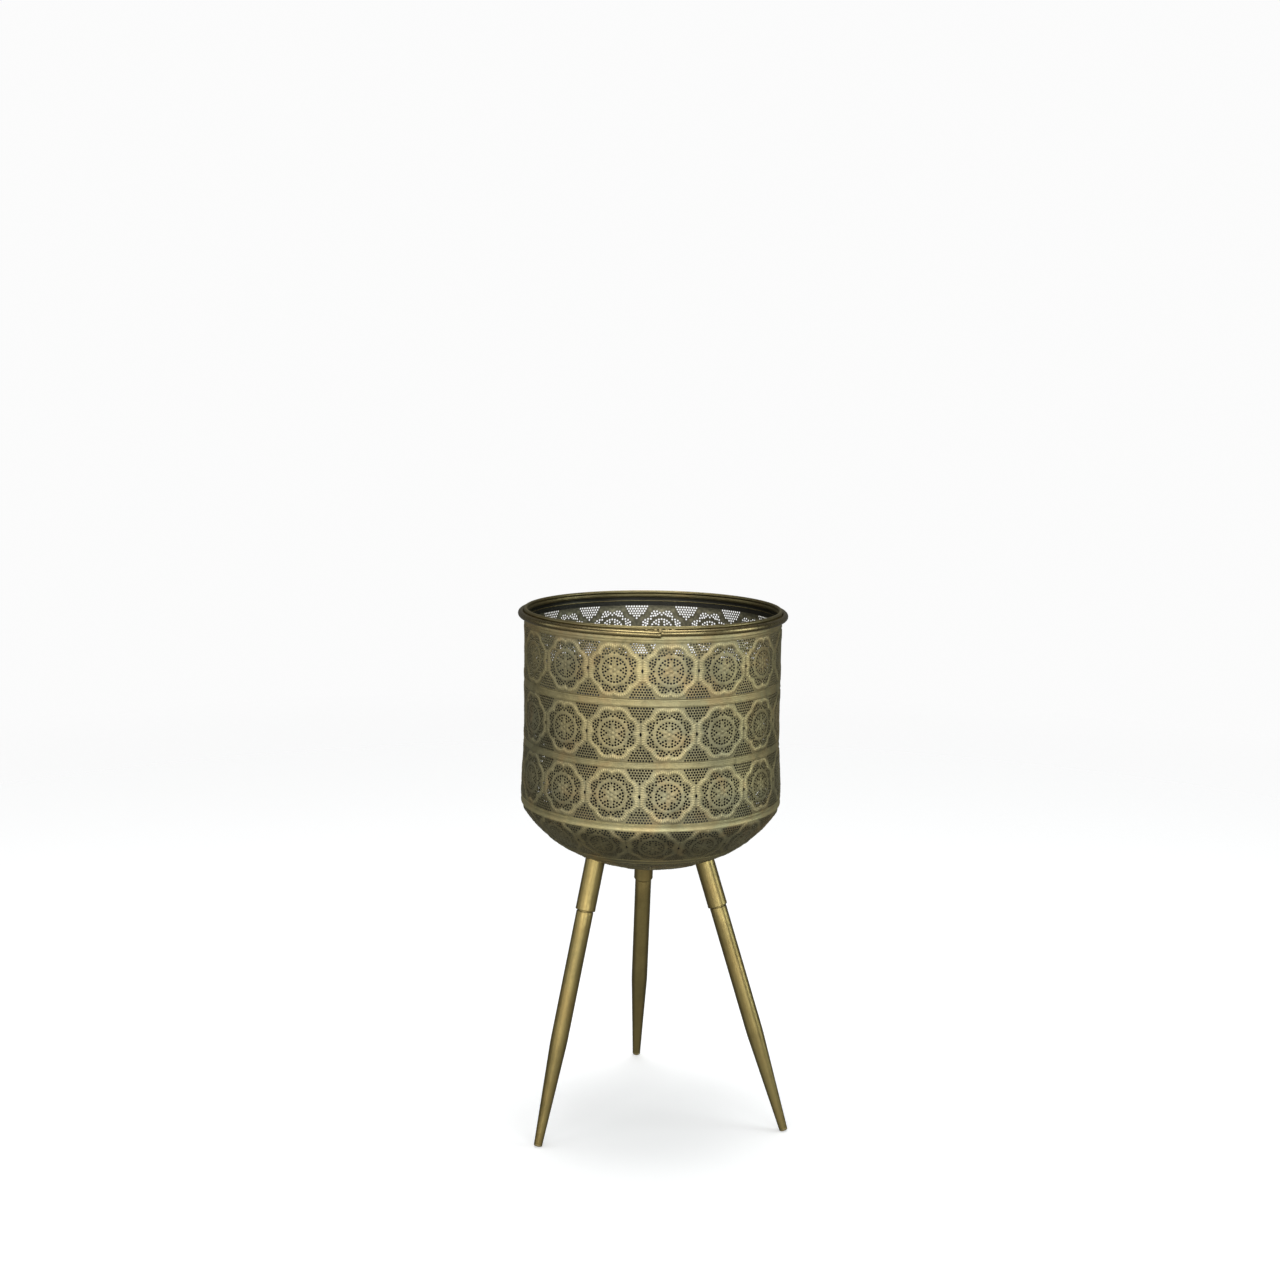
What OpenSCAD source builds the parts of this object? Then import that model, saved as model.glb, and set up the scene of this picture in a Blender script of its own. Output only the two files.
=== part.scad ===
// Planter pot of pierced brass sheet on three screw-in legs.
// Millimetres. The origin is on the floor, under the axis of the pot.

/* [Rim] */
// Overall height, from the floor to the top of the rim
overall_h = 589; // [560:1:620]
// Outside diameter across the rim rod
rim_d = 300; // [296:1:306]
// Diameter of the rim rod
rim_rod_d = 7.2; // [6.4:0.1:7.6]
// Diameter of the rolled bead along the top of the collar
rim_bead_d = 4; // [3.6:0.1:4.4]
// Height of the collar that lines the inside of the rim
collar_h = 11; // [9:0.5:16]

/* [Wall] */
// Thickness of the pierced sheet
sheet_t = 0.8; // [0.6:0.1:1]
// How far the wall swells outwards above its foot
foot_swell = 2.8; // [1.5:0.1:3]
// Height of one row of medallions with its plain band
row_h = 67.5; // [66:0.1:68]
// Number of medallions round the wall, which places the lap seam
medallions = 15; // [12:1:18]
// Width of the plain bands between the rows
band_w = 9; // [6:0.5:11]
// Width of the lap where the two ends of the wall sheet meet
lap_w = 7; // [5:0.5:10]

/* [Dish] */
// Height of the line where the wall turns in to the dish
dish_top_z = 373; // [368:1:380]
// Radius of the rounded corner between the wall and the dish
knuckle_r = 23; // [20:1:28]
// Radius of the sloping side of the dish
side_r = 140; // [132:1:145]
// Slope where the rounded corner runs into the side, from the horizontal
side_slope = 54; // [52:1:56]
// Slope where the side runs into the shallow middle
crown_slope = 24; // [22:1:26]
// Height of the upright flange of the dish, inside the wall
flange_h = 14; // [8:1:20]
// Width of the wall sheet's hem that wraps on to the rounded corner
hem_w = 2; // [1:0.5:4]

/* [Legs] */
// Direction of each leg, turning from the front towards the right
leg_azimuth = [-49, 70, 184]; // [-180:1:200]
// Distance of each socket's mouth from the axis of the pot
socket_reach = [94, 82, 88]; // [78:1:98]
// Distance of each foot from the axis of the pot
foot_reach = [159, 165.5, 163]; // [150:0.5:170]
// Height of each socket's mouth above the floor
socket_mouth_z = [258.5, 255, 252]; // [248:0.5:262]
// Outside diameter of a leg where it is straight
leg_d = 19; // [18:0.5:20]
// Diameter of a leg at its foot
leg_foot_d = 9.5; // [8.5:0.1:11]
// Share of a leg's visible length that is straight
leg_straight = 0.56; // [0.45:0.01:0.7]
// Wall thickness of a leg tube
leg_t = 1.2; // [1:0.1:1.5]
// Length of a leg that goes inside its socket
leg_insert = 9.7; // [8:0.1:9.8]

/* [Sockets and threads] */
// Outside diameter of a socket
socket_d = 22; // [21.8:0.1:23.5]
// Bore of a socket
socket_bore = 19.6; // [19.5:0.1:20.5]
// Thickness of the threaded plate inside a socket
plate_t = 8; // [6:0.5:10]
// Height of the threaded plate above the socket's mouth
plate_z = 10; // [10:0.1:12]
// Nominal diameter of the thread
stud_d = 8; // [6:0.5:8]
// How far the stud stands out above the threaded plate
stud_spare = 4; // [2:0.5:6]

/* [Liner] */
// Height of the liner's top edge above the floor
liner_top_z = 512; // [490:1:530]
// Outside diameter of the liner's rolled lip
liner_lip_d = 275; // [260:1:277]
// Outside diameter of the liner's wall just under the lip
liner_top_d = 267; // [250:1:268]
// Outside diameter of the liner's floor
liner_floor_d = 204; // [160:1:220]
// Thickness of the liner
liner_t = 2; // [1.6:0.1:3]

/* [Hidden] */

smooth = 96;
bore_gap = 0.08;
liner_gap = 0.3;

rim_rod_r = rim_rod_d / 2;
rim_bead_r = rim_bead_d / 2;
wall_r = rim_d / 2 - rim_rod_d;
wall_in_r = wall_r - sheet_t;
bead_z = overall_h - rim_bead_r;
rod_z = bead_z - 4.8;
wall_top_z = bead_z - rim_bead_r;

foot_r = wall_r + foot_swell;
swell_top_z = dish_top_z + 70;
swell_foot_z = dish_top_z + 24;
dish_r = foot_r - sheet_t;
knuckle_x = dish_r - knuckle_r;
side_x = knuckle_x - (side_r - knuckle_r) * sin(side_slope);
side_z = dish_top_z + (side_r - knuckle_r) * cos(side_slope);
crown_r = side_r + side_x / sin(crown_slope);
crown_z = side_z + (crown_r - side_r) * cos(crown_slope);
hem_turn = hem_w / (knuckle_r + sheet_t) * 180 / PI;

row_1_z = 542.3;
band_zs = [row_1_z - row_h / 2, row_1_z - row_h * 1.5];
ridge_r = 0.5;
lap_turn = lap_w / wall_r * 180 / PI;
lap_azimuth = 180 + 180 / medallions;

cap_head_t = 2.6;
cap_edge_r = 1;
cap_stem_l = 9;
leg_r = leg_d / 2;
leg_foot_r = leg_foot_d / 2;
stud_r = stud_d / 2;
plug_t = 8;

// Lean of leg i from the vertical, and the height of the middle of its foot
function leg_lean(i) = atan((foot_reach[i] - socket_reach[i]) / socket_mouth_z[i]);
function foot_z(i) = (leg_foot_r - cap_edge_r) * sin(leg_lean(i)) + cap_edge_r * (1 - cos(leg_lean(i)));
function leg_rise(i) = socket_mouth_z[i] - foot_z(i);
function leg_run(i) = foot_reach[i] - socket_reach[i];
function leg_tilt(i) = atan(leg_run(i) / leg_rise(i));
function leg_length(i) = norm([leg_rise(i), leg_run(i)]);

// Points along an arc, with angles from the +X axis
function arc(cx, cy, r, from, to, steps) =
    [for (k = [0:steps]) [cx + r * cos(from + (to - from) * k / steps),
                          cy + r * sin(from + (to - from) * k / steps)]];

// Local frame of leg i: z is 0 at the socket's mouth and rises along the leg
module on_leg(i) {
    a = leg_azimuth[i];
    translate([socket_reach[i] * sin(a), -socket_reach[i] * cos(a), socket_mouth_z[i]])
        rotate([0, -leg_tilt(i), a - 90])
            children();
}

// Outline of the wall sheet with its swollen foot and its turned-in hem
module wall_outline() {
    polygon(concat(
        [[wall_in_r, wall_top_z], [wall_r, wall_top_z], [wall_r, swell_top_z], [foot_r, swell_foot_z]],
        arc(knuckle_x, dish_top_z, knuckle_r + sheet_t, 0, -hem_turn, 6),
        arc(knuckle_x, dish_top_z, knuckle_r, -hem_turn, 0, 6),
        [[foot_r - sheet_t, swell_foot_z], [wall_in_r, swell_top_z]]
    ));
}

// Two fine raised lines run along each plain band
module band_ridges() {
    for (z = band_zs, side = [-1, 1]) {
        translate([wall_r - 0.1, z + side * (band_w / 2 - ridge_r)])
            intersection() {
                circle(r = ridge_r, $fn = 24);
                translate([-0.2, -ridge_r]) square([2 * ridge_r, 2 * ridge_r]);
            }
    }
}

module wall_sheet() {
    color("DarkKhaki") {
        rotate_extrude($fn = smooth) {
            wall_outline();
            band_ridges();
        }
        rotate([0, 0, lap_azimuth - 90 - lap_turn / 2])
            rotate_extrude(angle = lap_turn, $fn = smooth)
                translate([wall_r - 0.1, swell_top_z])
                    square([sheet_t + 0.1, rod_z - rim_rod_r - 1 - swell_top_z]);
    }
}

// Curve of the dish from its rim down to the axis: corner, sloping side and shallow middle
function dish_curve(inset) = concat(
    arc(knuckle_x, dish_top_z, knuckle_r - inset, 0, side_slope - 90, 8),
    arc(side_x, side_z, side_r - inset, side_slope - 90, crown_slope - 90, 10),
    arc(0, crown_z, crown_r - inset, crown_slope - 90, -90, 10)
);

// Dished bottom of the same sheet, with an upright flange
module bottom_dish() {
    inner = dish_curve(sheet_t);
    color("Khaki")
        rotate_extrude($fn = smooth)
            polygon(concat(
                [[dish_r, dish_top_z + flange_h]],
                dish_curve(0),
                [for (k = [len(inner) - 1:-1:0]) inner[k]],
                [[dish_r - sheet_t, dish_top_z + flange_h]]
            ));
}

module rim_ring() {
    color("Goldenrod")
        rotate_extrude($fn = smooth)
            translate([rim_d / 2 - rim_rod_r, rod_z])
                circle(r = rim_rod_r, $fn = 40);
}

// Plain strip inside the wall, with a rolled top edge and one swaged ridge
module rim_collar() {
    collar_r = wall_in_r;
    collar_t = 1;
    ridge_z = bead_z - 3.6;
    color("DarkGoldenrod")
        rotate_extrude($fn = smooth) {
            translate([collar_r - collar_t, bead_z - collar_h])
                square([collar_t, collar_h]);
            translate([collar_r - 0.4, bead_z])
                circle(r = rim_bead_r, $fn = 36);
            translate([collar_r - collar_t, ridge_z])
                intersection() {
                    circle(r = 1, $fn = 24);
                    translate([-1, -1]) square([1.5, 2]);
                }
        }
}

// Watertight liner: tapered wall, rolled lip and a floor whose rounded edge rests on the dish's side
module inner_liner() {
    corner = 5;
    floor_r = liner_floor_d / 2;
    reach = side_r - sheet_t - corner - liner_gap;
    floor_z = side_z - sqrt(pow(reach, 2) - pow(floor_r - corner - side_x, 2)) - corner;
    lip_r = liner_lip_d / 2;
    top_r = liner_top_d / 2;
    lip_drop = 7;
    color("DimGray")
        rotate_extrude($fn = smooth)
            polygon(concat(
                [[0, floor_z]],
                arc(floor_r - corner, floor_z + corner, corner, -90, 0, 5),
                [[top_r, liner_top_z - liner_t], [lip_r - liner_t, liner_top_z - liner_t],
                 [lip_r - liner_t, liner_top_z - lip_drop], [lip_r, liner_top_z - lip_drop]],
                arc(lip_r - 1, liner_top_z - 1, 1, 0, 90, 3),
                [[top_r - liner_t, liner_top_z]],
                arc(floor_r - corner, floor_z + corner, corner - liner_t, 0, -90, 4),
                [[0, floor_z + liner_t]]
            ));
}

// Tube that the leg screws into, cut to the curve of the dish
module leg_socket(i) {
    color("Peru")
        difference() {
            on_leg(i) cylinder(d = socket_d, h = 75, $fn = 64);
            on_leg(i) translate([0, 0, -1]) cylinder(d = socket_bore, h = 78, $fn = 64);
            rotate_extrude($fn = smooth) polygon(concat([[0, dish_top_z]], dish_curve(0)));
        }
}

// Threaded plate fixed across the socket
module socket_plate(i) {
    color("Silver")
        on_leg(i)
            translate([0, 0, plate_z])
                difference() {
                    cylinder(d = socket_bore, h = plate_t, $fn = 64);
                    translate([0, 0, -1]) cylinder(r = stud_r + bore_gap, h = plate_t + 2, $fn = 48);
                }
}

// Straight tube that tapers evenly over its lower part
module leg_tube(i) {
    taper_z = -leg_straight * leg_length(i);
    end_z = cap_head_t - leg_length(i);
    color("DarkKhaki")
        on_leg(i)
            rotate_extrude($fn = 64)
                polygon([
                    [leg_r - leg_t, leg_insert], [leg_r, leg_insert], [leg_r, taper_z],
                    [leg_foot_r, end_z], [leg_foot_r - leg_t, end_z], [leg_r - leg_t, taper_z]
                ]);
}

// Disc fixed in the top of the leg, holding the stud
module leg_plug(i) {
    color("Gray")
        on_leg(i)
            translate([0, 0, leg_insert - plug_t])
                difference() {
                    cylinder(r = leg_r - leg_t, h = plug_t, $fn = 64);
                    translate([0, 0, -1]) cylinder(r = stud_r, h = plug_t + 2, $fn = 48);
                }
}

module leg_stud(i) {
    tip = 1;
    length = plate_z + plate_t + stud_spare - (leg_insert - plug_t);
    color("LightSteelBlue")
        on_leg(i)
            translate([0, 0, leg_insert - plug_t]) {
                cylinder(r = stud_r, h = length - tip, $fn = 48);
                translate([0, 0, length - tip]) cylinder(r1 = stud_r, r2 = stud_r - tip, h = tip, $fn = 48);
            }
}

// Rounded cap pressed into the narrow end of the leg
module foot_cap(i) {
    end_z = -leg_length(i);
    stem_r = leg_foot_r - leg_t;
    color("Tan")
        on_leg(i)
            rotate_extrude($fn = 48)
                polygon(concat(
                    [[0, end_z]],
                    arc(leg_foot_r - cap_edge_r, end_z + cap_edge_r, cap_edge_r, -90, 0, 6),
                    [[leg_foot_r, end_z + cap_head_t], [stem_r, end_z + cap_head_t],
                     [stem_r, end_z + cap_head_t + cap_stem_l], [0, end_z + cap_head_t + cap_stem_l]]
                ));
}

wall_sheet();
bottom_dish();
rim_ring();
rim_collar();
inner_liner();
leg_socket(0);  // leg_socket_1
leg_socket(1);  // leg_socket_2
leg_socket(2);  // leg_socket_3
socket_plate(0);  // socket_plate_1
socket_plate(1);  // socket_plate_2
socket_plate(2);  // socket_plate_3
leg_tube(0);  // leg_tube_1
leg_tube(1);  // leg_tube_2
leg_tube(2);  // leg_tube_3
leg_plug(0);  // leg_plug_1
leg_plug(1);  // leg_plug_2
leg_plug(2);  // leg_plug_3
leg_stud(0);  // leg_stud_1
leg_stud(1);  // leg_stud_2
leg_stud(2);  // leg_stud_3
foot_cap(0);  // foot_cap_1
foot_cap(1);  // foot_cap_2
foot_cap(2);  // foot_cap_3
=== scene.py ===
import math

import bpy
import numpy as np
from mathutils import Matrix, Vector
from mathutils.geometry import delaunay_2d_cdt


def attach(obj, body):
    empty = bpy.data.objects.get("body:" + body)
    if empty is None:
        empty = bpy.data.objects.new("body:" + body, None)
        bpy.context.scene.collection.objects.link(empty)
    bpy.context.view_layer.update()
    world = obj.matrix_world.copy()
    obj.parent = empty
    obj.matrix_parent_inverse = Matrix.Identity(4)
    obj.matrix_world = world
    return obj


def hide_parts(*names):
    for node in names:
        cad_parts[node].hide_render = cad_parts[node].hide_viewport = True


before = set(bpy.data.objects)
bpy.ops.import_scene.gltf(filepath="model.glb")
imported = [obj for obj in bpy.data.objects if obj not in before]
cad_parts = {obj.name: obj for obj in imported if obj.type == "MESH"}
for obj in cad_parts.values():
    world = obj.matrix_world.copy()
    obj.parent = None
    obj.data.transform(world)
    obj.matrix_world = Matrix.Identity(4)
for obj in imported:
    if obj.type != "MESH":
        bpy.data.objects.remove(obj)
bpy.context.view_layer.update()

# ---------------------------------------------------------------- sizes, in millimetres and degrees
# The lace's flat pattern: one medallion in each tile, and plain bands between the rows.
MEDALLIONS = 15
TILE_W = 59.8
ROW_H = 67.5
BAND_W = 9.0
ZONE = (ROW_H - BAND_W) / 2
SHEET = 0.8
HOLE = 1.2
RIB = 5.0

# The wall, with the heights and turns of its rows from the top down, and the lap at its back.
WALL_R = 142.8
FOOT_R = 145.6
SWELL_TOP, SWELL_H = 446.0, 54.0
WALL_TOP = 585.0
FOOT_Z = 373.0
ROW_Z = (541.7, 474.4, 408.3)
ROW_PHASE = (7.3, 6.9, 6.8)
LAP_AZ, LAP_HALF, LAP_LOW, LAP_TOP = 192.0, 3.5, 443.0, 577.6

# The dish: a crown, a side and a knuckle, each an arc that runs on from the one before.
DISH_PHASE = 0.8
DISH_R = FOOT_R - SHEET
KNUCKLE_R, SIDE_R = 23.0, 140.0
SIDE_SLOPE, CROWN_SLOPE = math.radians(54), math.radians(24)
KNUCKLE_X = DISH_R - KNUCKLE_R
SIDE_X = KNUCKLE_X - (SIDE_R - KNUCKLE_R) * math.sin(SIDE_SLOPE)
SIDE_Z = FOOT_Z + (SIDE_R - KNUCKLE_R) * math.cos(SIDE_SLOPE)
CROWN_R = SIDE_R + SIDE_X / math.sin(CROWN_SLOPE)
CROWN_Z = SIDE_Z + (CROWN_R - SIDE_R) * math.cos(CROWN_SLOPE)
CROWN_END = CROWN_R * CROWN_SLOPE
SIDE_END = CROWN_END + SIDE_R * (SIDE_SLOPE - CROWN_SLOPE)
KNUCKLE_END = SIDE_END + KNUCKLE_R * (math.pi / 2 - SIDE_SLOPE)

# Rows, bands and centre of the dish, by arc length from its middle.
OUTER_MID = 147.0
OUTER_BAND = OUTER_MID - ZONE - BAND_W
INNER_MID = OUTER_BAND - ZONE
INNER_TILES = 8
CENTRE_R = INNER_MID - ZONE - BAND_W

# The rim's rod, and the rolled edge of the collar inside it.
RIM_R, RIM_Z, RIM_ROD = 146.4, 582.2, 3.6
BEAD_R, BEAD_Z, BEAD_ROD = 141.6, 587.0, 2.0
COLLAR_R, COLLAR_LOW = 141.0, 576.0
RIM_JOINT = 2.7

# The legs, their sockets and their studs.
LEG_AZ = (-49.0, 70.0, 184.0)
SOCKET_REACH = (94.0, 82.0, 88.0)
FOOT_REACH = (159.0, 165.5, 163.0)
MOUTH_Z = (258.5, 255.0, 252.0)
LEG_R, LEG_FOOT_R, LEG_T = 9.5, 4.75, 1.2
LEG_STRAIGHT = 0.56
LEG_INSERT = 9.7
SOCKET_R, SOCKET_BORE = 11.0, 9.8
STUD_R, STUD_TOP, STUD_HIDDEN = 4.0, 22.0, 8.0
THREAD_PITCH, THREAD_DEPTH = 1.25, 0.62
CAP_HEAD, CAP_EDGE, CAP_STEM = 2.6, 1.0, 9.0

# The liner.
LINER_FLOOR, LINER_TOP = 322.54, 512.0
LINER_FLOOR_R, LINER_TOP_R, LINER_LIP_R, LINER_T = 102.0, 133.5, 137.5, 2.0


# ---------------------------------------------------------------- mesh helpers
def build(name, verts, tris, uv=None, relief=None, sharp=None):
    """A smooth mesh object from arrays in millimetres, with its own flat-pattern map for baking."""
    tris = np.asarray(tris, np.int32)
    mesh = bpy.data.meshes.new(name)
    mesh.vertices.add(len(verts))
    mesh.vertices.foreach_set("co", (np.asarray(verts, float) * 0.001).ravel())
    mesh.loops.add(tris.size)
    mesh.loops.foreach_set("vertex_index", tris.ravel())
    mesh.polygons.add(len(tris))
    mesh.polygons.foreach_set("loop_start", np.arange(0, tris.size, 3, dtype=np.int32))
    mesh.update(calc_edges=True)
    mesh.polygons.foreach_set("use_smooth", np.ones(len(tris), bool))
    if uv is not None:
        layer = mesh.uv_layers.new(name="OFBake")
        layer.data.foreach_set("uv", np.asarray(uv, float).ravel())
    if relief is not None:
        layer = mesh.attributes.new("relief", "FLOAT", "POINT")
        layer.data.foreach_set("value", np.asarray(relief, float))
    if sharp is not None and len(sharp):
        ends = np.zeros(len(mesh.edges) * 2, np.int64)
        mesh.edges.foreach_get("vertices", ends)
        ends = np.sort(ends.reshape(-1, 2), 1)
        n = len(verts)
        want = np.sort(np.asarray(sharp, np.int64), 1)
        hit = np.isin(ends[:, 0] * n + ends[:, 1], want[:, 0] * n + want[:, 1])
        mesh.attributes.new("sharp_edge", "BOOLEAN", "EDGE").data.foreach_set("value", hit)
    mesh.update()
    obj = bpy.data.objects.new(name, mesh)
    bpy.context.scene.collection.objects.link(obj)
    return obj


def placed(place, points):
    """The points after a placement."""
    return points @ np.array(place.to_3x3()).T + np.array(place.translation)


def quads(p, q, s, t, u0, u1, v0, v1):
    """Two triangles for each quad p, q, s, t, and the places of their corners on the flat map."""
    v0, v1 = v0 + 0 * u0, v1 + 0 * u0
    tris = [np.stack([p, q, s], 1), np.stack([p, s, t], 1)]
    uv = [np.stack([u0, v0, u1, v0, u1, v1], 1), np.stack([u0, v0, u1, v1, u0, v1], 1)]
    return tris, uv


def lathe(name, profile, segments, place=None, wave=None, relief=None):
    """Turns a closed profile of (radius, height) about Z. The profile runs with the solid on its left."""
    sharp_turn = 35
    prof = np.asarray(profile, float)
    n = len(prof)
    a = np.arange(segments) * 2 * np.pi / segments
    r = np.repeat(prof[:, 0][None, :], segments, 0)
    z = np.repeat(prof[:, 1][None, :], segments, 0)
    if wave is not None:
        r, z = wave(a[:, None], r, z)
    verts = np.stack([r * np.cos(a)[:, None], r * np.sin(a)[:, None], z], 2).reshape(-1, 3)
    step = np.r_[0, np.cumsum(np.hypot(*np.diff(np.vstack([prof, prof[:1]]), axis=0).T))]
    step = step / step[n]
    on_axis = prof[:, 0] < 1e-6
    j = np.arange(segments)
    j2 = (j + 1) % segments
    tris, uv, sharp = [], [], []
    for k in range(n):
        k2 = (k + 1) % n
        corners = (j * n + k, j2 * n + k, j2 * n + k2, j * n + k2)
        pair, maps = quads(*corners, j / segments, (j + 1) / segments, step[k], step[k + 1])
        if not on_axis[k]:
            tris.append(pair[0])
            uv.append(maps[0])
        if not on_axis[k2]:
            tris.append(pair[1])
            uv.append(maps[1])
        d1, d2 = prof[k] - prof[k - 1], prof[k2] - prof[k]
        turn = abs(math.degrees(math.atan2(d1[0] * d2[1] - d1[1] * d2[0], d1 @ d2)))
        if turn > sharp_turn:
            sharp.append(np.stack([j * n + k, j2 * n + k], 1))
    tris, uv = np.concatenate(tris), np.concatenate(uv)
    same = np.arange(len(verts))
    for k in np.flatnonzero(on_axis):
        same[j * n + k] = k
    kept, tris = np.unique(same[tris], return_inverse=True)
    tris = tris.reshape(-1, 3)
    back = np.full(len(verts), -1)
    back[kept] = np.arange(len(kept))
    if sharp:
        sharp = back[same[np.concatenate(sharp)]]
        sharp = sharp[(sharp >= 0).all(1)]
    verts = verts[kept]
    if place is not None:
        verts = placed(place, verts)
    marks = None if relief is None else np.tile(np.asarray(relief, float), segments)[kept]
    return build(name, verts, tris, uv * 0.98 + 0.01, marks, sharp if len(sharp) else None)


def arc(cx, cy, r, start, end, steps):
    """Points of an arc, with angles in degrees from the radial direction."""
    t = np.radians(np.linspace(start, end, steps + 1))
    return [(cx + r * math.cos(a), cy + r * math.sin(a)) for a in t]


def finish_piece(obj, body, slot, material, *nodes):
    """Gives a piece its material, the body it rides and the CAD parts it stands in for. The slot is not used.
    """
    obj.data.materials.clear()
    obj.data.materials.append(material)
    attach(obj, body)
    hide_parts(*nodes)
    return obj


# ---------------------------------------------------------------- curves of the pot
def bump(x, centre, half):
    """A smooth hill, 1 at the centre and 0 beyond half."""
    t = np.clip(1 - np.abs(x - centre) / half, 0, 1)
    return t * t * (3 - 2 * t)


def ramp(x, a, b):
    """A smooth step from 0 at a to 1 at b."""
    t = np.clip((x - a) / (b - a), 0, 1)
    return t * t * (3 - 2 * t)


def dish_at(s):
    """Radius, height and slope angle of the dish's outer face at arc length s from the axis."""
    s = np.asarray(s, float)
    crown = s / CROWN_R
    side = CROWN_SLOPE + (s - CROWN_END) / SIDE_R
    knuckle = np.minimum(SIDE_SLOPE + (s - SIDE_END) / KNUCKLE_R, math.pi / 2)
    above = np.maximum(s - KNUCKLE_END, 0)
    pick = [s < CROWN_END, s < SIDE_END]
    radii = [CROWN_R * np.sin(crown), SIDE_X + SIDE_R * np.sin(side)]
    heights = [CROWN_Z - CROWN_R * np.cos(crown), SIDE_Z - SIDE_R * np.cos(side)]
    r = np.select(pick, radii, KNUCKLE_X + KNUCKLE_R * np.sin(knuckle))
    z = np.select(pick, heights, FOOT_Z - KNUCKLE_R * np.cos(knuckle))
    return r, z + above, np.select(pick, [crown, side], knuckle)


def off_dish(s, out):
    """Radius and height of points at distance out from the dish's outer face."""
    r, z, slope = dish_at(s)
    return r + np.sin(slope) * out, z - np.cos(slope) * out


def wall_radius(z):
    """Outer radius of the wall, with its swollen foot."""
    t = np.clip((SWELL_TOP - np.asarray(z, float)) / SWELL_H, 0, 1)
    return WALL_R + (FOOT_R - WALL_R) * t * t * (3 - 2 * t)


def lap(azimuth, z):
    """Extra height where the wall sheet's two ends lie one over the other, at the back."""
    off = np.abs((azimuth - math.radians(LAP_AZ) + math.pi) % (2 * math.pi) - math.pi) * WALL_R
    return SHEET * ramp(off, LAP_HALF + 0.6, LAP_HALF - 0.6) * ((z > LAP_LOW) & (z < LAP_TOP))


def lapped(a, r, z):
    """Raises the outer face of a turned piece of the wall over the lap."""
    return r + np.where(r > wall_radius(z) - 0.5, lap(a + math.pi / 2, z), 0.0), z


# ---------------------------------------------------------------- the lace pattern
def polar(deg, r):
    """A point of the flat pattern at an angle from straight up."""
    a = math.radians(deg)
    return r * math.sin(a), r * math.cos(a)


def medallion_holes():
    """Rings of holes round the middle, and a fan of nine in each of the eight lobes."""
    holes = [polar(30 + 60 * k, 7.1) for k in range(6)]
    holes += [polar(30 + 60 * k + side, 9.9) for k in range(6) for side in (-12, 12)]
    holes += [polar(15 * k, 12.8) for k in range(24)]
    holes += [polar(45 * k, 18.1) for k in range(8)]
    fan = ((0, 18.5), (-8, 19.4), (8, 19.4), (-16, 20.6), (16, 20.6))
    fan += ((0, 21.1), (-8.2, 22.8), (8.2, 22.8), (0, 23.8))
    return holes + [polar(22.5 + 45 * k + side, r) for k in range(8) for side, r in fan]


def lattice_holes():
    """The triangles of holes in the corners between medallions."""
    pitch = 3.12
    holes = []
    for y, n in ((13.7, 1), (16.7, 3), (19.5, 6), (22.3, 7), (25.1, 8), (27.9, 9)):
        for k in range(n):
            x = TILE_W / 2 + (k - (n - 1) / 2) * pitch
            holes += [(sx * x, sy * y) for sx in (-1, 1) for sy in (-1, 1)]
    return holes


def scallop(theta):
    """0 in the dips and 1 on the crowns of the eight lobes, theta in radians from up."""
    return np.abs(np.sin(4 * theta)) ** 0.75


def edge_in(theta):
    """Inner edge of the ribbed border, as a radius."""
    return 21.2 + 3.9 * scallop(theta)


def edge_out(theta):
    """Outer edge of the border. Between two medallions it runs on to the line where they meet."""
    theta = np.asarray(theta, float)
    side = TILE_W / 2 / np.maximum(np.abs(np.sin(theta)), 0.5)
    between = ramp(side * np.abs(np.cos(theta)), 13.2, 12.0)
    return np.maximum(27.2 + 2.6 * scallop(theta), side * between)


def disc_relief(x, y):
    """Height of one medallion's embossing, in millimetres, at points of the flat pattern."""
    r = np.hypot(x, y)
    th = np.arctan2(x, y)
    petal = 0.5 + 0.5 * np.cos(6 * th)
    h = 0.42 * ramp(r, 2.0, 0.2) + 0.30 * bump(r, 4.6, 2.6) * petal - 0.12 * bump(r, 2.6, 0.9)
    h += 0.12 * bump(r, 15.6, 2.2) + 0.08 * bump(r, 11.3, 1.0)
    h -= 0.10 * ramp(r, 17.0, 18.6)
    low, high = edge_in(th), edge_out(th)
    t = np.clip((r - low) / (high - low), 0, 1)
    arch = (1 - (2 * t - 1) ** 2) ** 0.7
    ribs = 0.5 + 0.5 * np.cos(th * 360 / RIB)
    return h + arch * (0.16 + 0.62 * ribs)


def row_relief(x, y):
    """Height of the embossing of a row of medallions."""
    return disc_relief((x + TILE_W / 2) % TILE_W - TILE_W / 2, y)


def hole_loops(holes, slit, wx, hy):
    """Outlines, of eight points each, of the holes that reach into the quarter and of the slit."""
    loops = []
    for x, y in holes:
        if x > -HOLE and y > -HOLE and x < wx + HOLE and y < hy + HOLE:
            turns = [math.pi * k / 4 for k in range(8)]
            loops.append([(x + HOLE * math.cos(t), y + HOLE * math.sin(t)) for t in turns])
    if slit:
        half = ((1.35, 0), (0.85, 1.3), (0, 2.45), (-0.85, 1.3))
        loops.append([(wx + side * a, side * b) for side in (1, -1) for a, b in half])
    return loops


def border_points(wx, hy, round_edge):
    """Points along the outer edges and the two axes of the quarter."""
    step, turns = 1.5, 40
    nx, ny = round(wx / step), round(hy / step)
    if round_edge:
        angles = [math.pi / 2 * k / turns for k in range(turns + 1)]
        points = [(wx * math.cos(t), wx * math.sin(t)) for t in angles]
    else:
        points = [(wx * k / nx, hy) for k in range(nx + 1)]
        points += [(wx, hy * k / ny) for k in range(ny + 1)]
    points += [(wx * k / nx, 0.0) for k in range(nx + 1)]
    return points + [(0.0, hy * k / ny) for k in range(ny + 1)]


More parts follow.
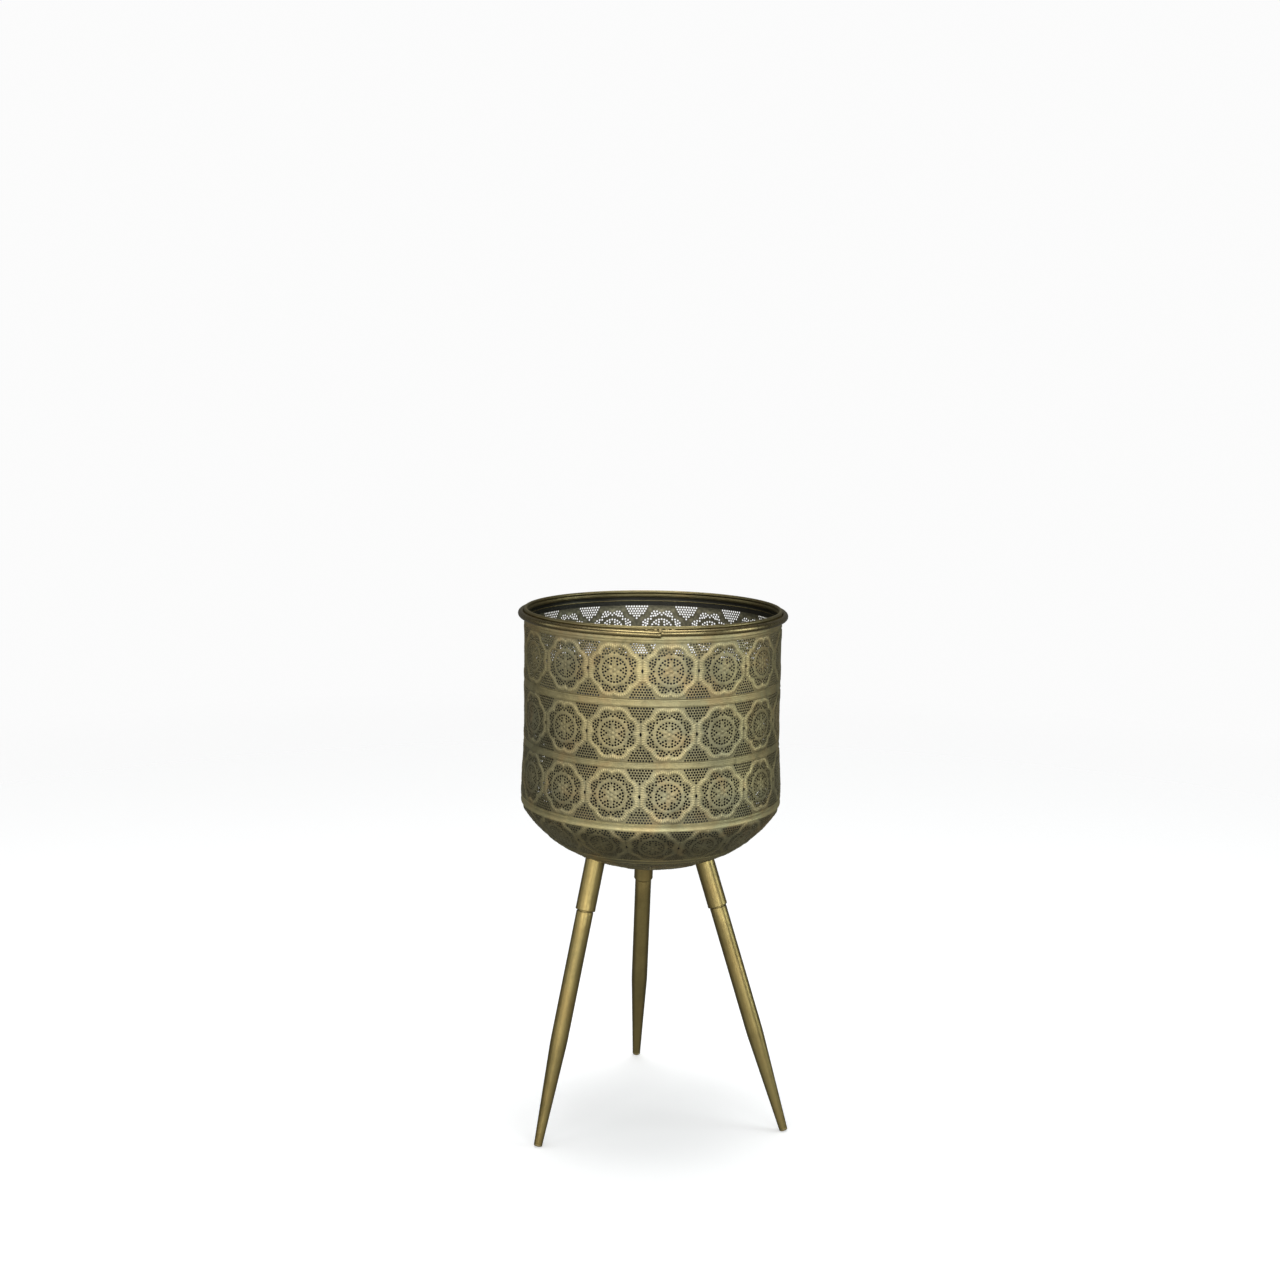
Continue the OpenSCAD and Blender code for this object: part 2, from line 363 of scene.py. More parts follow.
def relief_points():
    """Points that follow the ribs of the border and the rings of the medallion."""
    on_rib = (-0.08, 0.03, 0.16, 0.36, 0.64, 0.84, 0.97, 1.08)
    off_rib = (0.25, 0.5, 0.75)
    points = []
    columns = round(90 / RIB * 4)
    for k in range(columns + 1):
        th = math.radians(90 * k / columns)
        low, high = float(edge_in(th)), float(edge_out(th))
        radii = [low + (high - low) * t for t in (off_rib if k % 2 else on_rib)]
        points += [(r * math.sin(th), r * math.cos(th)) for r in radii]
    rings = ((0.9, 3), (1.9, 6), (2.6, 12), (3.6, 12), (4.8, 12), (5.9, 12), (11.3, 18))
    for r, n in rings + ((14.2, 20), (15.0, 20), (15.8, 20), (16.6, 20)):
        angles = [math.pi / 2 * k / n for k in range(n + 1)]
        points += [(r * math.sin(t), r * math.cos(t)) for t in angles]
    return points


def quarter(holes, slit, limit, fine, round_edge=False):
    """Triangles over one quarter of the pattern, less its holes. limit is (half width, half height)."""
    wx, hy = limit
    eps = 1e-6

    def inside(p):
        if round_edge:
            return p[0] > -eps and p[1] > -eps and math.hypot(*p) < wx + 1e-4
        return -eps < p[0] < wx + eps and -eps < p[1] < hy + eps

    loops = hole_loops(holes, slit, wx, hy)
    points, edges = [], []
    for loop in loops:
        known = {}
        for k, p in enumerate(loop):
            if inside(p):
                known[k] = len(points)
                points.append((max(p[0], 0.0), max(p[1], 0.0)))
        for k in known:
            if (k + 1) % 8 in known:
                edges.append((known[k], known[(k + 1) % 8]))
    centres = np.array([np.mean(loop, 0) for loop in loops])
    reach = np.array([max(math.dist(c, p) for p in loop) for c, loop in zip(centres, loops)])

    extra = border_points(wx, hy, round_edge)
    border = len(extra)
    if fine:
        extra += relief_points()
    grid_start = len(extra)
    gap = 1.9 if fine else 4.0
    for i in range(int(wx / gap) + 2):
        for j in range(int(hy / (gap * 0.866)) + 2):
            extra.append(((i + 0.5 * (j % 2)) * gap, j * gap * 0.866))

    # Each further point is kept if it is clear of the holes, of the points before it and of the edges.
    taken = np.array(points)
    for n, p in enumerate(extra):
        on_edge, on_grid = n < border, n >= grid_start
        hole_gap = 0.02 if on_edge else 0.22
        point_gap = 0.15 if on_edge else 0.9 if on_grid else 0.42
        p = tuple(max(v, 0.0) if abs(v) > 1e-5 else 0.0 for v in p)
        if not inside(p):
            continue
        if (np.hypot(centres[:, 0] - p[0], centres[:, 1] - p[1]) - reach).min() < hole_gap:
            continue
        if np.hypot(taken[:, 0] - p[0], taken[:, 1] - p[1]).min() < point_gap:
            continue
        if on_grid and not round_edge and (p[0] > wx - 0.3 or p[1] > hy - 0.3):
            continue
        if not on_edge and (0 < p[0] < 0.25 or 0 < p[1] < 0.25):
            continue
        taken = np.vstack([taken, p])

    got = delaunay_2d_cdt([Vector(p) for p in taken], edges, [], 0, 1e-5)
    pts = np.array([tuple(v) for v in got[0]])
    tri = np.array(got[2])
    a, b, c = pts[tri[:, 0]], pts[tri[:, 1]], pts[tri[:, 2]]
    area = (b[:, 0] - a[:, 0]) * (c[:, 1] - a[:, 1]) - (b[:, 1] - a[:, 1]) * (c[:, 0] - a[:, 0])
    tri[area < 0] = tri[area < 0][:, ::-1]
    mid = (a + b + c) / 3
    keep = np.abs(area) > 1e-7
    for loop in loops:
        lp = np.array(loop)
        inner = np.ones(len(mid), bool)
        for p, q in zip(lp, np.roll(lp, -1, 0)):
            inner &= (q[0] - p[0]) * (mid[:, 1] - p[1]) - (q[1] - p[1]) * (mid[:, 0] - p[0]) > 0
        keep &= ~inner
    return pts, tri[keep]


def weld(pts, tri, width=None):
    """Joins points that coincide. With a width, the pattern closes round on itself."""
    key = np.round(pts * 2000).astype(np.int64)
    if width is not None:
        key[:, 0] %= int(round(width * 2000))
    _, first, back = np.unique(key, axis=0, return_index=True, return_inverse=True)
    return pts[first], back.reshape(-1)[tri]


def mirrored(pts, tri):
    """The whole pattern from its quarter."""
    parts, faces = [], []
    for sx, sy in ((1, 1), (-1, 1), (-1, -1), (1, -1)):
        faces.append((tri if sx * sy > 0 else tri[:, ::-1]) + len(parts) * len(pts))
        parts.append(pts * (sx, sy))
    return weld(np.vstack(parts), np.vstack(faces))


def repeated(pts, tri, n):
    """n patterns side by side, closed into a ring."""
    parts = [pts + (TILE_W * k, 0) for k in range(n)]
    faces = [tri + len(pts) * k for k in range(n)]
    return weld(np.vstack(parts), np.vstack(faces), TILE_W * n)


def open_edges(tri):
    """Directed edges that only one triangle has."""
    e = np.vstack([tri[:, [0, 1]], tri[:, [1, 2]], tri[:, [2, 0]]])
    n = int(tri.max()) + 1
    code = e[:, 0].astype(np.int64) * n + e[:, 1]
    return e[~np.isin(code, e[:, 1].astype(np.int64) * n + e[:, 0])]


def lace(name, outer, inner, place, height, width=None, uv_of=None):
    """A sheet SHEET thick from the two flat triangulations, bent by place(x, y, out)."""
    (po, to), (pi, ti) = outer, inner
    lift = height(po[:, 0], po[:, 1])
    vo = place(po[:, 0], po[:, 1], lift)
    dent = height(pi[:, 0], pi[:, 1])
    vi = place(pi[:, 0], pi[:, 1], -SHEET + 0.6 * dent)

    def keys(p):
        k = np.round(p * 1000).astype(np.int64)
        if width is not None:
            k[:, 0] %= int(round(width * 1000))
        return k[:, 0] * 4000000 + k[:, 1] + 2000000

    ko, ki = keys(po), keys(pi)
    order = np.argsort(ki)
    e = open_edges(to)
    at = np.searchsorted(ki[order], ko[e])
    at = order[np.clip(at, 0, len(order) - 1)]
    missing = int((ki[at] != ko[e]).sum())
    if missing:
        raise ValueError(f"{name}: {missing} hole edges have no partner on the inner face")
    at = at + len(vo)
    walls = [np.stack([e[:, 1], e[:, 0], at[:, 0]], 1), np.stack([e[:, 1], at[:, 0], at[:, 1]], 1)]
    tris = np.vstack([to, ti[:, ::-1] + len(vo), *walls])
    uv = np.vstack([uv_of(po, 0.52, 0.47), uv_of(pi, 0.01, 0.47)])[tris]
    wrap = uv[:, :, 0].max(1) - uv[:, :, 0].min(1) > 0.5
    low = uv[:, :, 0] < 0.5
    uv[:, :, 0] = np.where(wrap[:, None] & low, uv[:, :, 0] + 1, uv[:, :, 0])
    uv[:, :, 0] *= 0.98

    # The sides of the holes take the map places of the outer edges they start from.
    first = len(to) + len(ti)
    second = first + len(e)
    uv[first:second, 2] = uv[first:second, 1]
    uv[second:, 1] = uv[first:second, 1]
    uv[second:, 2] = uv[second:, 0]
    # On the inner face the mark runs from -1 to -0.72, for painted shade that is lighter on the embossing as
    # a painted highlight.
    marks = np.concatenate([lift, np.clip(dent, 0, 0.7) * 0.4 - 1])
    return build(name, np.vstack([vo, vi]), tris, uv, marks, np.vstack([e, at]))


def ring_uv(n):
    """Where the points of a ring of n patterns lie on the flat map."""
    def uv_of(p, low, tall):
        u = (p[:, 0] / (TILE_W * n)) % 1.0
        return np.stack([u, low + (p[:, 1] / (2 * ZONE) + 0.5) * tall], 1)
    return uv_of


holes = medallion_holes() + lattice_holes()
tile_outer = mirrored(*quarter(holes, True, (TILE_W / 2, ZONE), True))
tile_inner = mirrored(*quarter(holes, True, (TILE_W / 2, ZONE), False))


def lace_ring(name, n, place):
    """A closed row of n medallions, bent by place."""
    outer, inner = repeated(*tile_outer, n), repeated(*tile_inner, n)
    return lace(name, outer, inner, place, row_relief, TILE_W * n, ring_uv(n))


def wall_row(name, z_mid, phase):
    """A row of the wall, turned by phase."""
    def place(x, y, out):
        a = math.radians(phase) + x * 2 * math.pi / (TILE_W * MEDALLIONS)
        z = z_mid + y
        r = wall_radius(z) + out + np.where(out > -0.3, lap(a, z), 0.0)
        return np.stack([r * np.sin(a), -r * np.cos(a), z], 1)

    return lace_ring(name, MEDALLIONS, place)


def dish_row(name, s_mid, n, phase, lean=0.0):
    """A row of the dish. Lean moves all but its inner edge: inwards on the +X side, outwards on -X."""
    def place(x, y, out):
        a = math.radians(phase) + x * 2 * math.pi / (TILE_W * n)
        r, z = off_dish(s_mid + y - lean * np.sin(a) * ramp(y, -ZONE, -ZONE + 12), out)
        return np.stack([r * np.sin(a), -r * np.cos(a), z], 1)

    return lace_ring(name, n, place)


def dish_centre(name, radius):
    """The middle medallion of the dish, with three rings of holes round it."""
    ring = medallion_holes()
    for r, n in ((32.0, 64), (35.2, 68), (38.4, 76)):
        ring += [polar(360 * k / n, r) for k in range(n)]
    outer = mirrored(*quarter(ring, False, (radius, radius), True, True))
    inner = mirrored(*quarter(ring, False, (radius, radius), False, True))

    def place(x, y, out):
        s = np.hypot(x, y)
        r, z = off_dish(s, out)
        k = r / np.maximum(s, 1e-6)
        return np.stack([x * k, -y * k, z], 1)

    def uv_of(p, low, tall):
        u, v = p[:, 0] / radius * 0.5 + 0.5, p[:, 1] / radius * 0.5 + 0.5
        return np.stack([0.02 + u * 0.46, low + v * tall], 1)

    return lace(name, outer, inner, place, disc_relief, None, uv_of)


# ---------------------------------------------------------------- materials
def nodes_of(name):
    """A new material, its node tree and its shader."""
    mat = bpy.data.materials.new(name)
    mat.use_nodes = True
    tree = mat.node_tree
    bsdf = tree.nodes["Principled BSDF"]
    return mat, tree, bsdf


def add(tree, kind, **inputs):
    """A node with some inputs set. Underscores in their names stand for spaces."""
    node = tree.nodes.new(kind)
    for key, value in inputs.items():
        node.inputs[key.replace("_", " ")].default_value = value
    return node


def noise(tree, coords, scale, detail=4.0, rough=0.6, distortion=0.0):
    """Noise over the piece, in features per metre."""
    node = add(tree, "ShaderNodeTexNoise", Scale=scale, Detail=detail, Roughness=rough, Distortion=distortion)
    tree.links.new(coords, node.inputs["Vector"])
    return node.outputs["Fac"]


def span(tree, value, a, b, c=0.0, d=1.0):
    """Maps a value from a..b to c..d and clamps it."""
    node = tree.nodes.new("ShaderNodeMapRange")
    node.clamp = True
    tree.links.new(value, node.inputs["Value"])
    for key, number in zip(("From Min", "From Max", "To Min", "To Max"), (a, b, c, d)):
        node.inputs[key].default_value = number
    return node.outputs["Result"]


def mix(tree, fac, a, b):
    """The colour between a and b. Each argument is a number, a colour or an output to link."""
    node = tree.nodes.new("ShaderNodeMix")
    node.data_type = "RGBA"
    for port, value in ((node.inputs[0], fac), (node.inputs[6], a), (node.inputs[7], b)):
        if isinstance(value, (tuple, float, int)):
            port.default_value = (*value, 1.0) if isinstance(value, tuple) else value
        else:
            tree.links.new(value, port)
    return node.outputs[2]


def scaled(colour, *factors):
    """The colour times one factor, or times one factor for each channel."""
    factors = factors * 3 if len(factors) == 1 else factors
    return tuple(c * f for c, f in zip(colour, factors))


def maths(tree, op, a, b):
    """The result of one math node. Each argument is a number or an output to link."""
    node = tree.nodes.new("ShaderNodeMath")
    node.operation = op
    for port, value in zip(node.inputs, (a, b)):
        if isinstance(value, (float, int)):
            port.default_value = value
        else:
            tree.links.new(value, port)
    return node.outputs[0]


def bumped(tree, bsdf, height, strength, distance):
    """Fine relief in the shading."""
    node = add(tree, "ShaderNodeBump", Strength=strength, Distance=distance)
    tree.links.new(height, node.inputs["Height"])
    tree.links.new(node.outputs["Normal"], bsdf.inputs["Normal"])


def coords_of(tree):
    """The piece's own coordinates, in metres."""
    return tree.nodes.new("ShaderNodeTexCoord").outputs["Object"]


def brass(name, bright, dull, rough, patina=0.35, relief=False, streak=None, depth=0.35, mottle=1.0,
          inner=(0.20, 0.185, 0.125)):
    """Aged brass: bright on high places, partly from wear and partly as a painted highlight; dull and
    greenish in the hollows, partly patina and partly painted shade. With relief, the sides of holes and the
    inner face are painted dark as shade, in the colour inner.
    """
    mat, tree, bsdf = nodes_of(name)
    co = coords_of(tree)
    if streak is not None:
        stretch = add(tree, "ShaderNodeMapping")
        stretch.inputs["Scale"].default_value = streak
        tree.links.new(co, stretch.inputs["Vector"])
        fine = noise(tree, stretch.outputs["Vector"], 260.0, 5.0, 0.65)
    else:
        fine = noise(tree, co, 700.0, 3.0, 0.6)
    broad = noise(tree, co, 9.0, 3.0, 0.55, 0.4)
    cloud = noise(tree, co, 38.0, 5.0, 0.66, 0.8)
    spots = noise(tree, co, 150.0, 4.0, 0.7)
    grey = scaled(dull, 0.82, 0.98, 1.28)
    tone = mix(tree, span(tree, fine, 0.3, 0.7, 0.0, 0.6 * mottle), bright, dull)
    tone = mix(tree, span(tree, broad, 0.42, 0.62, 0.0, patina), tone, grey)
    tone = mix(tree, span(tree, cloud, 0.45, 0.7, 0.0, patina * 1.2), tone, scaled(dull, 0.5))
    tone = mix(tree, span(tree, spots, 0.55, 0.75, 0.0, patina), tone, scaled(grey, 0.8))
    warm = noise(tree, co, 22.0, 4.0, 0.6, 0.6)
    tone = mix(tree, span(tree, warm, 0.5, 0.66, 0.0, patina), tone, scaled(bright, 0.98, 0.79, 0.72))
    if relief:
        # The mark is the embossing's height on the outer face and -1 to -0.7 on the inner face, which is
        # painted as shade.
        mark = tree.nodes.new("ShaderNodeAttribute")
        mark.attribute_name = "relief"
        mark = mark.outputs["Fac"]
        high = span(tree, mark, 0.25, 0.75)
        low = span(tree, mark, 0.2, -0.1)
        hole_side_shade = span(tree, mark, -0.2, -0.4)
        inside = span(tree, mark, -0.5, -0.65)
        # The inner face: painted dark as shade, and lighter on its embossing as a painted highlight.
        inner_shade_and_highlight = mix(tree, span(tree, mark, -0.98, -0.75), inner, scaled(inner, 1.9))
        # Raised places: painted brighter, partly as wear and partly as a painted highlight.
        worn_and_highlit = tuple(min(1.0, c) for c in scaled(bright, 1.5))
        tone = mix(tree, maths(tree, "MULTIPLY", high, 0.7), tone, worn_and_highlit)
        # Low places: painted darker, partly as patina and partly as painted shade.
        tone = mix(tree, maths(tree, "MULTIPLY", low, 0.3), tone, scaled(dull, 0.5))
        # Sides of the holes, where the mark runs between the two faces: painted near black as shade.
        tone = mix(tree, hole_side_shade, tone, scaled(dull, 0.2))
        tone = mix(tree, inside, tone, inner_shade_and_highlight)
        change = span(tree, high, 0, 1, 0.08, -0.06)
        base = span(tree, spots, 0.3, 0.7, rough - 0.05, rough + 0.1)
    else:
        change = span(tree, fine, 0.3, 0.7, -0.05, 0.05)
        base = span(tree, spots, 0.3, 0.7, rough - 0.04, rough + 0.08)
    roughness = maths(tree, "ADD", change, base)
    tree.links.new(tone, bsdf.inputs["Base Color"])
    tree.links.new(roughness, bsdf.inputs["Roughness"])
    bsdf.inputs["Metallic"].default_value = 1.0
    height = maths(tree, "ADD", maths(tree, "MULTIPLY", fine, 0.5), maths(tree, "MULTIPLY", spots, 0.9))
    bumped(tree, bsdf, height, depth, 0.0004)
    return mat


def plastic(name, colour, rough):
    """Black plastic with a little dust."""
    mat, tree, bsdf = nodes_of(name)
    co = coords_of(tree)
    fine = noise(tree, co, 1400.0, 3.0)
    dust = span(tree, noise(tree, co, 30.0, 6.0, 0.7), 0.5, 0.75, 0.0, 0.35)
    tree.links.new(mix(tree, dust, colour, tuple(c + 0.015 for c in colour)), bsdf.inputs["Base Color"])
    tree.links.new(span(tree, fine, 0.3, 0.7, rough - 0.08, rough + 0.08), bsdf.inputs["Roughness"])
    bumped(tree, bsdf, fine, 0.2, 0.0002)
    return mat


def steel(name):
    """Dull plated steel."""
    mat, tree, bsdf = nodes_of(name)
    co = coords_of(tree)
    cells = noise(tree, co, 180.0, 4.0, 0.7)
    colour = mix(tree, span(tree, cells, 0.35, 0.65), (0.46, 0.46, 0.44), (0.62, 0.61, 0.57))
    tree.links.new(colour, bsdf.inputs["Base Color"])
    tree.links.new(span(tree, cells, 0.3, 0.7, 0.28, 0.46), bsdf.inputs["Roughness"])
    bsdf.inputs["Metallic"].default_value = 1.0
    bumped(tree, bsdf, cells, 0.2, 0.0002)
    return mat


LACE_BRIGHT = (0.44, 0.365, 0.18)
# Nearly black colours that paint shade: on the inner face of the bands and hem, and in the collar's groove.
BAND_INNER_SHADE = (0.05, 0.048, 0.04)
COLLAR_GROOVE_SHADE = (0.03, 0.028, 0.022)
lace_mat = brass("lace_brass", LACE_BRIGHT, (0.27, 0.235, 0.13), 0.40, 0.5, True, depth=0.5)
band_mat = brass("band_brass", LACE_BRIGHT, (0.27, 0.235, 0.12), 0.42, 0.5, True, None, 0.8, 1.3, BAND_INNER_SHADE)
rim_mat = brass("rim_brass", (0.30, 0.24, 0.11), (0.19, 0.145, 0.065), 0.28, 0.25, depth=0.05)
collar_mat = brass("collar_brass", (0.27, 0.225, 0.105), (0.16, 0.13, 0.062), 0.32, 0.3, True,
                   depth=0.10, inner=COLLAR_GROOVE_SHADE)
# A brighter copy of the sheet's brass for the hem, which is the same sheet: painted light.
hem_lit_mat = brass("hem_brass_lit", (0.54, 0.455, 0.22), (0.35, 0.305, 0.155), 0.42, 0.45, True,
                depth=0.8, mottle=1.3, inner=BAND_INNER_SHADE)
leg_mat = brass("leg_brass", (0.34, 0.26, 0.098), (0.215, 0.16, 0.058), 0.36, 0.22,
                streak=(6.0, 6.0, 0.25), depth=0.12)
cap_mat = brass("cap_brass", (0.40, 0.32, 0.155), (0.28, 0.22, 0.105), 0.38, 0.15, depth=0.2)
liner_mat = plastic("liner_plastic", (0.012, 0.012, 0.012), 0.5)
steel_mat = steel("plated_steel")

# ---------------------------------------------------------------- the pot's wall and dish
for number, (z_mid, phase) in enumerate(zip(ROW_Z, ROW_PHASE), 1):
    row = wall_row(f"wall_lace_row_{number}", z_mid, phase)
    finish_piece(row, "pot", "brass_sheet", lace_mat, "wall_sheet")

# Marks for the brass: the outer face, a little brightened with the raised places, and the inner face, painted
# dark as shade.
OUTER_FACE, INNER_SHADE = 0.3, -1.0


def band_relief(t):
    """A fine raised line along each edge of a band, t = 0 and 1, and two faint ones between."""
    edges = np.maximum(bump(t, 0.05, 0.07), bump(t, 0.95, 0.07))
    return 0.10 + 0.42 * edges + 0.16 * (bump(t, 0.24, 0.06) + bump(t, 0.76, 0.06))


def band_profile(z_low, z_high):
    """The section of a plain band of the wall, which reaches a little under the lace."""
    under = 0.25
    zs = np.linspace(z_low - under, z_high + under, 31)
    up = band_relief((zs - z_low) / (z_high - z_low))
    out = [(wall_radius(z) + u, z) for z, u in zip(zs, up)]
    back = [(wall_radius(z) - SHEET, z) for z in zs[::-6]]
    return out + back


def painted_shade_inside(profile):
    """Marks the points of a wall profile that lie on its inner face, to be painted dark as shade."""
    return [INNER_SHADE if r < wall_radius(z) - 0.5 else OUTER_FACE for r, z in profile]


bands = (("wall_band_upper", ROW_Z[1] + ZONE, ROW_Z[0] - ZONE),
         ("wall_band_lower", ROW_Z[2] + ZONE, ROW_Z[1] - ZONE))
for name, low, high in bands:
    profile = band_profile(low, high)
    band = lathe(name, profile, 360, wave=lapped, relief=painted_shade_inside(profile))
    finish_piece(band, "pot", "brass_sheet", band_mat, "wall_sheet")

low = ROW_Z[0] + ZONE
top_strip = [(WALL_R + 0.1, low - 0.2), (WALL_R + 0.5, low + 0.3), (WALL_R + 0.5, low + 0.8)]
top_strip += [(WALL_R + 0.12, low + 1.3), (WALL_R + 0.05, low + 3.4), (WALL_R + 0.3, low + 4.0)]
top_strip += [(WALL_R + 0.05, low + 4.6), (WALL_R, 578.0), (WALL_R, WALL_TOP)]
top_strip += [(WALL_R - SHEET, WALL_TOP), (WALL_R - SHEET, low - 0.2)]
strip = lathe("wall_top_strip", top_strip, 360, wave=lapped, relief=painted_shade_inside(top_strip))
finish_piece(strip, "pot", "brass_sheet", band_mat, "wall_sheet")

# The hem turns in under the dish's knuckle.
top = ROW_Z[2] - ZONE
turn, reach = math.radians(5.5), KNUCKLE_R + SHEET + 0.35
hem = [(FOOT_R - SHEET, top + 0.25), (FOOT_R - SHEET, FOOT_Z)]
hem += arc(KNUCKLE_X, FOOT_Z, KNUCKLE_R + 0.05, 0, -5.5, 3)
hem += [(KNUCKLE_X + reach * math.cos(turn), FOOT_Z - reach * math.sin(turn))]
hem += arc(KNUCKLE_X, FOOT_Z, KNUCKLE_R + SHEET + 0.45, -4.0, -2.0, 2)
hem += [(FOOT_R + 0.12, FOOT_Z), (FOOT_R + 0.1, top - 2.2), (FOOT_R + 0.32, top - 1.7)]
hem += [(FOOT_R + 0.1, top - 1.2), (FOOT_R + 0.52, top - 0.6), (FOOT_R + 0.5, top - 0.1)]
hem += [(FOOT_R + 0.08, top + 0.25)]
hem_ring = lathe("wall_hem", hem, 360, relief=painted_shade_inside(hem))
finish_piece(hem_ring, "pot", "brass_sheet", hem_lit_mat, "wall_sheet")

for piece in (dish_row("dish_lace_outer", OUTER_MID, MEDALLIONS, DISH_PHASE, 4.0),
              dish_row("dish_lace_inner", INNER_MID, INNER_TILES, DISH_PHASE + 9.0),
              dish_centre("dish_lace_centre", CENTRE_R)):
    finish_piece(piece, "pot", "brass_sheet", lace_mat, "bottom_dish")


def dish_band(name, s_low, s_high):
    """A plain band of the dish between two arc lengths."""
    s = np.linspace(s_low - 0.25, s_high + 0.25, 25)
    up = band_relief((s - s_low) / (s_high - s_low))
    out = list(zip(*off_dish(s, up)))
    back = list(zip(*off_dish(s, -SHEET)))[::-6]
    # The band's inner face is marked for painted shade.
    marks = [OUTER_FACE] * len(out) + [INNER_SHADE] * len(back)
    return lathe(name, out + back, 300, relief=marks)


for name, low in (("dish_band_outer", OUTER_BAND), ("dish_band_inner", CENTRE_R)):
    finish_piece(dish_band(name, low, low + BAND_W), "pot", "brass_sheet", band_mat, "bottom_dish")

inside, outside = DISH_R - SHEET, DISH_R - 0.02
low, high = FOOT_Z + 1.0, FOOT_Z + 14.0
flange = [(inside, low), (outside, low), (outside, high), (inside, high)]
# The whole flange is marked as inner face, so it is painted dark as shade.
flange_ring = lathe("dish_flange", flange, 240, relief=[INNER_SHADE] * 4)
finish_piece(flange_ring, "pot", "brass_sheet", band_mat, "bottom_dish")


# ---------------------------------------------------------------- rim
def rod_ring(name, ring_r, ring_z, rod_r, joint, gap, sag):
    """A rod bent into a ring, with its two ends meeting at the joint. sag is the drop of each end."""
    sides, segments = 20, 360
    a = np.radians(joint) + np.linspace(gap / 2 / ring_r, 2 * math.pi - gap / 2 / ring_r, segments)
    from_end = (a[-1] - a) * ring_r
    from_start = (a - a[0]) * ring_r
    zc = ring_z - sag[0] * np.exp(-from_start / 26) - sag[1] * np.exp(-from_end / 42)
    zc += 0.15 * np.sin(3 * a + 1)
    rc = ring_r + 0.22 * np.sin(2 * a + 0.6) + 0.12 * np.sin(7 * a)
    t = np.arange(sides) * 2 * math.pi / sides

    def section(k, angle, size):
        r = rc[k] + rod_r * size * np.cos(t)
        return np.stack([r * math.sin(angle), -r * math.cos(angle), zc[k] + rod_r * size * np.sin(t)], 1)

    rounding = ((0.86, 0.5), (0.5, 0.85), (0.0, 0.95))
    start = [section(0, a[0] - push / ring_r, size) for size, push in rounding]
    end = [section(segments - 1, a[-1] + push / ring_r, size) for size, push in rounding]
    stack = start[::-1] + [section(k, a[k], 1.0) for k in range(segments)] + end
    n = len(stack)
    i, j = np.meshgrid(np.arange(n - 1), np.arange(sides), indexing="ij")
    i, j = i.ravel(), j.ravel()
    j2 = (j + 1) % sides
    corners = (i * sides + j, (i + 1) * sides + j, (i + 1) * sides + j2, i * sides + j2)
    u0, u1 = i / (n - 1), (i + 1) / (n - 1)
    v0, v1 = j / sides, (j + 1) / sides
    pair, maps = quads(*corners, u0, u1, v0, v1)
    tris, uv = np.vstack(pair), np.vstack(maps)
    tris[tris < sides] = 0
    tris[tris >= (n - 1) * sides] = (n - 1) * sides
    whole = (tris != np.roll(tris, 1, 1)).all(1)
    used, tris = np.unique(tris[whole], return_inverse=True)
    return build(name, np.vstack(stack)[used], tris.reshape(-1, 3), uv[whole] * 0.98 + 0.01)


def lump(centre, size, seed, squash):
    """A small blob of solder."""
    rings, sides = 8, 14
    th = np.linspace(0, math.pi, rings + 1)[1:-1]
    ph = np.arange(sides) * 2 * math.pi / sides
    pts = [(0, 0, 1.0)]
    for t in th:
        pts += [(math.sin(t) * math.cos(p), math.sin(t) * math.sin(p), math.cos(t)) for p in ph]
    pts.append((0, 0, -1.0))
    pts = np.array(pts)
    waves = np.random.default_rng(seed).normal(size=(4, 3))
    swell = 1 + 0.10 * sum(np.sin(2.2 * pts @ w + k) for k, w in enumerate(waves)) / 2
    pts = pts * swell[:, None] * size * np.array(squash) + np.array(centre)
    tris = [(0, 1 + k, 1 + (k + 1) % sides) for k in range(sides)]
    for r in range(len(th) - 1):
        b, c = 1 + r * sides, 1 + (r + 1) * sides
        for k in range(sides):
            k2 = (k + 1) % sides
            tris += [(b + k, c + k, c + k2), (b + k, c + k2, b + k2)]
    b, end = 1 + (len(th) - 1) * sides, len(pts) - 1
    tris += [(b + k, end, b + (k + 1) % sides) for k in range(sides)]
    return pts, np.array(tris)


def at_azimuth(deg, r, z):
    """A point at an azimuth, counted from the front towards +X."""
    return (r * math.sin(math.radians(deg)), -r * math.cos(math.radians(deg)), z)


rod = rod_ring("rim_rod", RIM_R, RIM_Z, RIM_ROD, RIM_JOINT, 0.5, (-0.2, 1.6))
finish_piece(rod, "pot", "brass_rim", rim_mat, "rim_ring")

# Solder at the joint: turn and offsets from the joint, size, and stretch along each axis.
LUMPS = (
    (-0.1, 1.3, 2.1, 1.9, (1.3, 0.8, 0.8)),
    (0.9, 2.0, 0.6, 1.5, (1.2, 0.8, 0.9)),
    (-0.2, -2.0, 3.2, 1.8, (1.5, 1.0, 0.8)),
    (-2.2, -2.7, 3.1, 1.4, (2.0, 0.8, 0.7)),
    (2.4, -2.6, 3.2, 1.3, (2.4, 0.8, 0.7)),
    (5.2, -2.8, 3.2, 1.2, (2.4, 0.8, 0.7)),
    (-6.0, -2.9, 3.1, 1.1, (1.8, 0.8, 0.7)),
)
blobs, faces = [], []
for k, (turn, dr, dz, size, squash) in enumerate(LUMPS):
    points, tris = lump(at_azimuth(RIM_JOINT + turn, RIM_R + dr, RIM_Z + dz), size, 40 + k, squash)
    faces.append(tris + len(points) * k)
    blobs.append(points)
solder = build("rim_solder", np.vstack(blobs), np.vstack(faces))
finish_piece(solder, "pot", "brass_rim", cap_mat, "rim_ring")

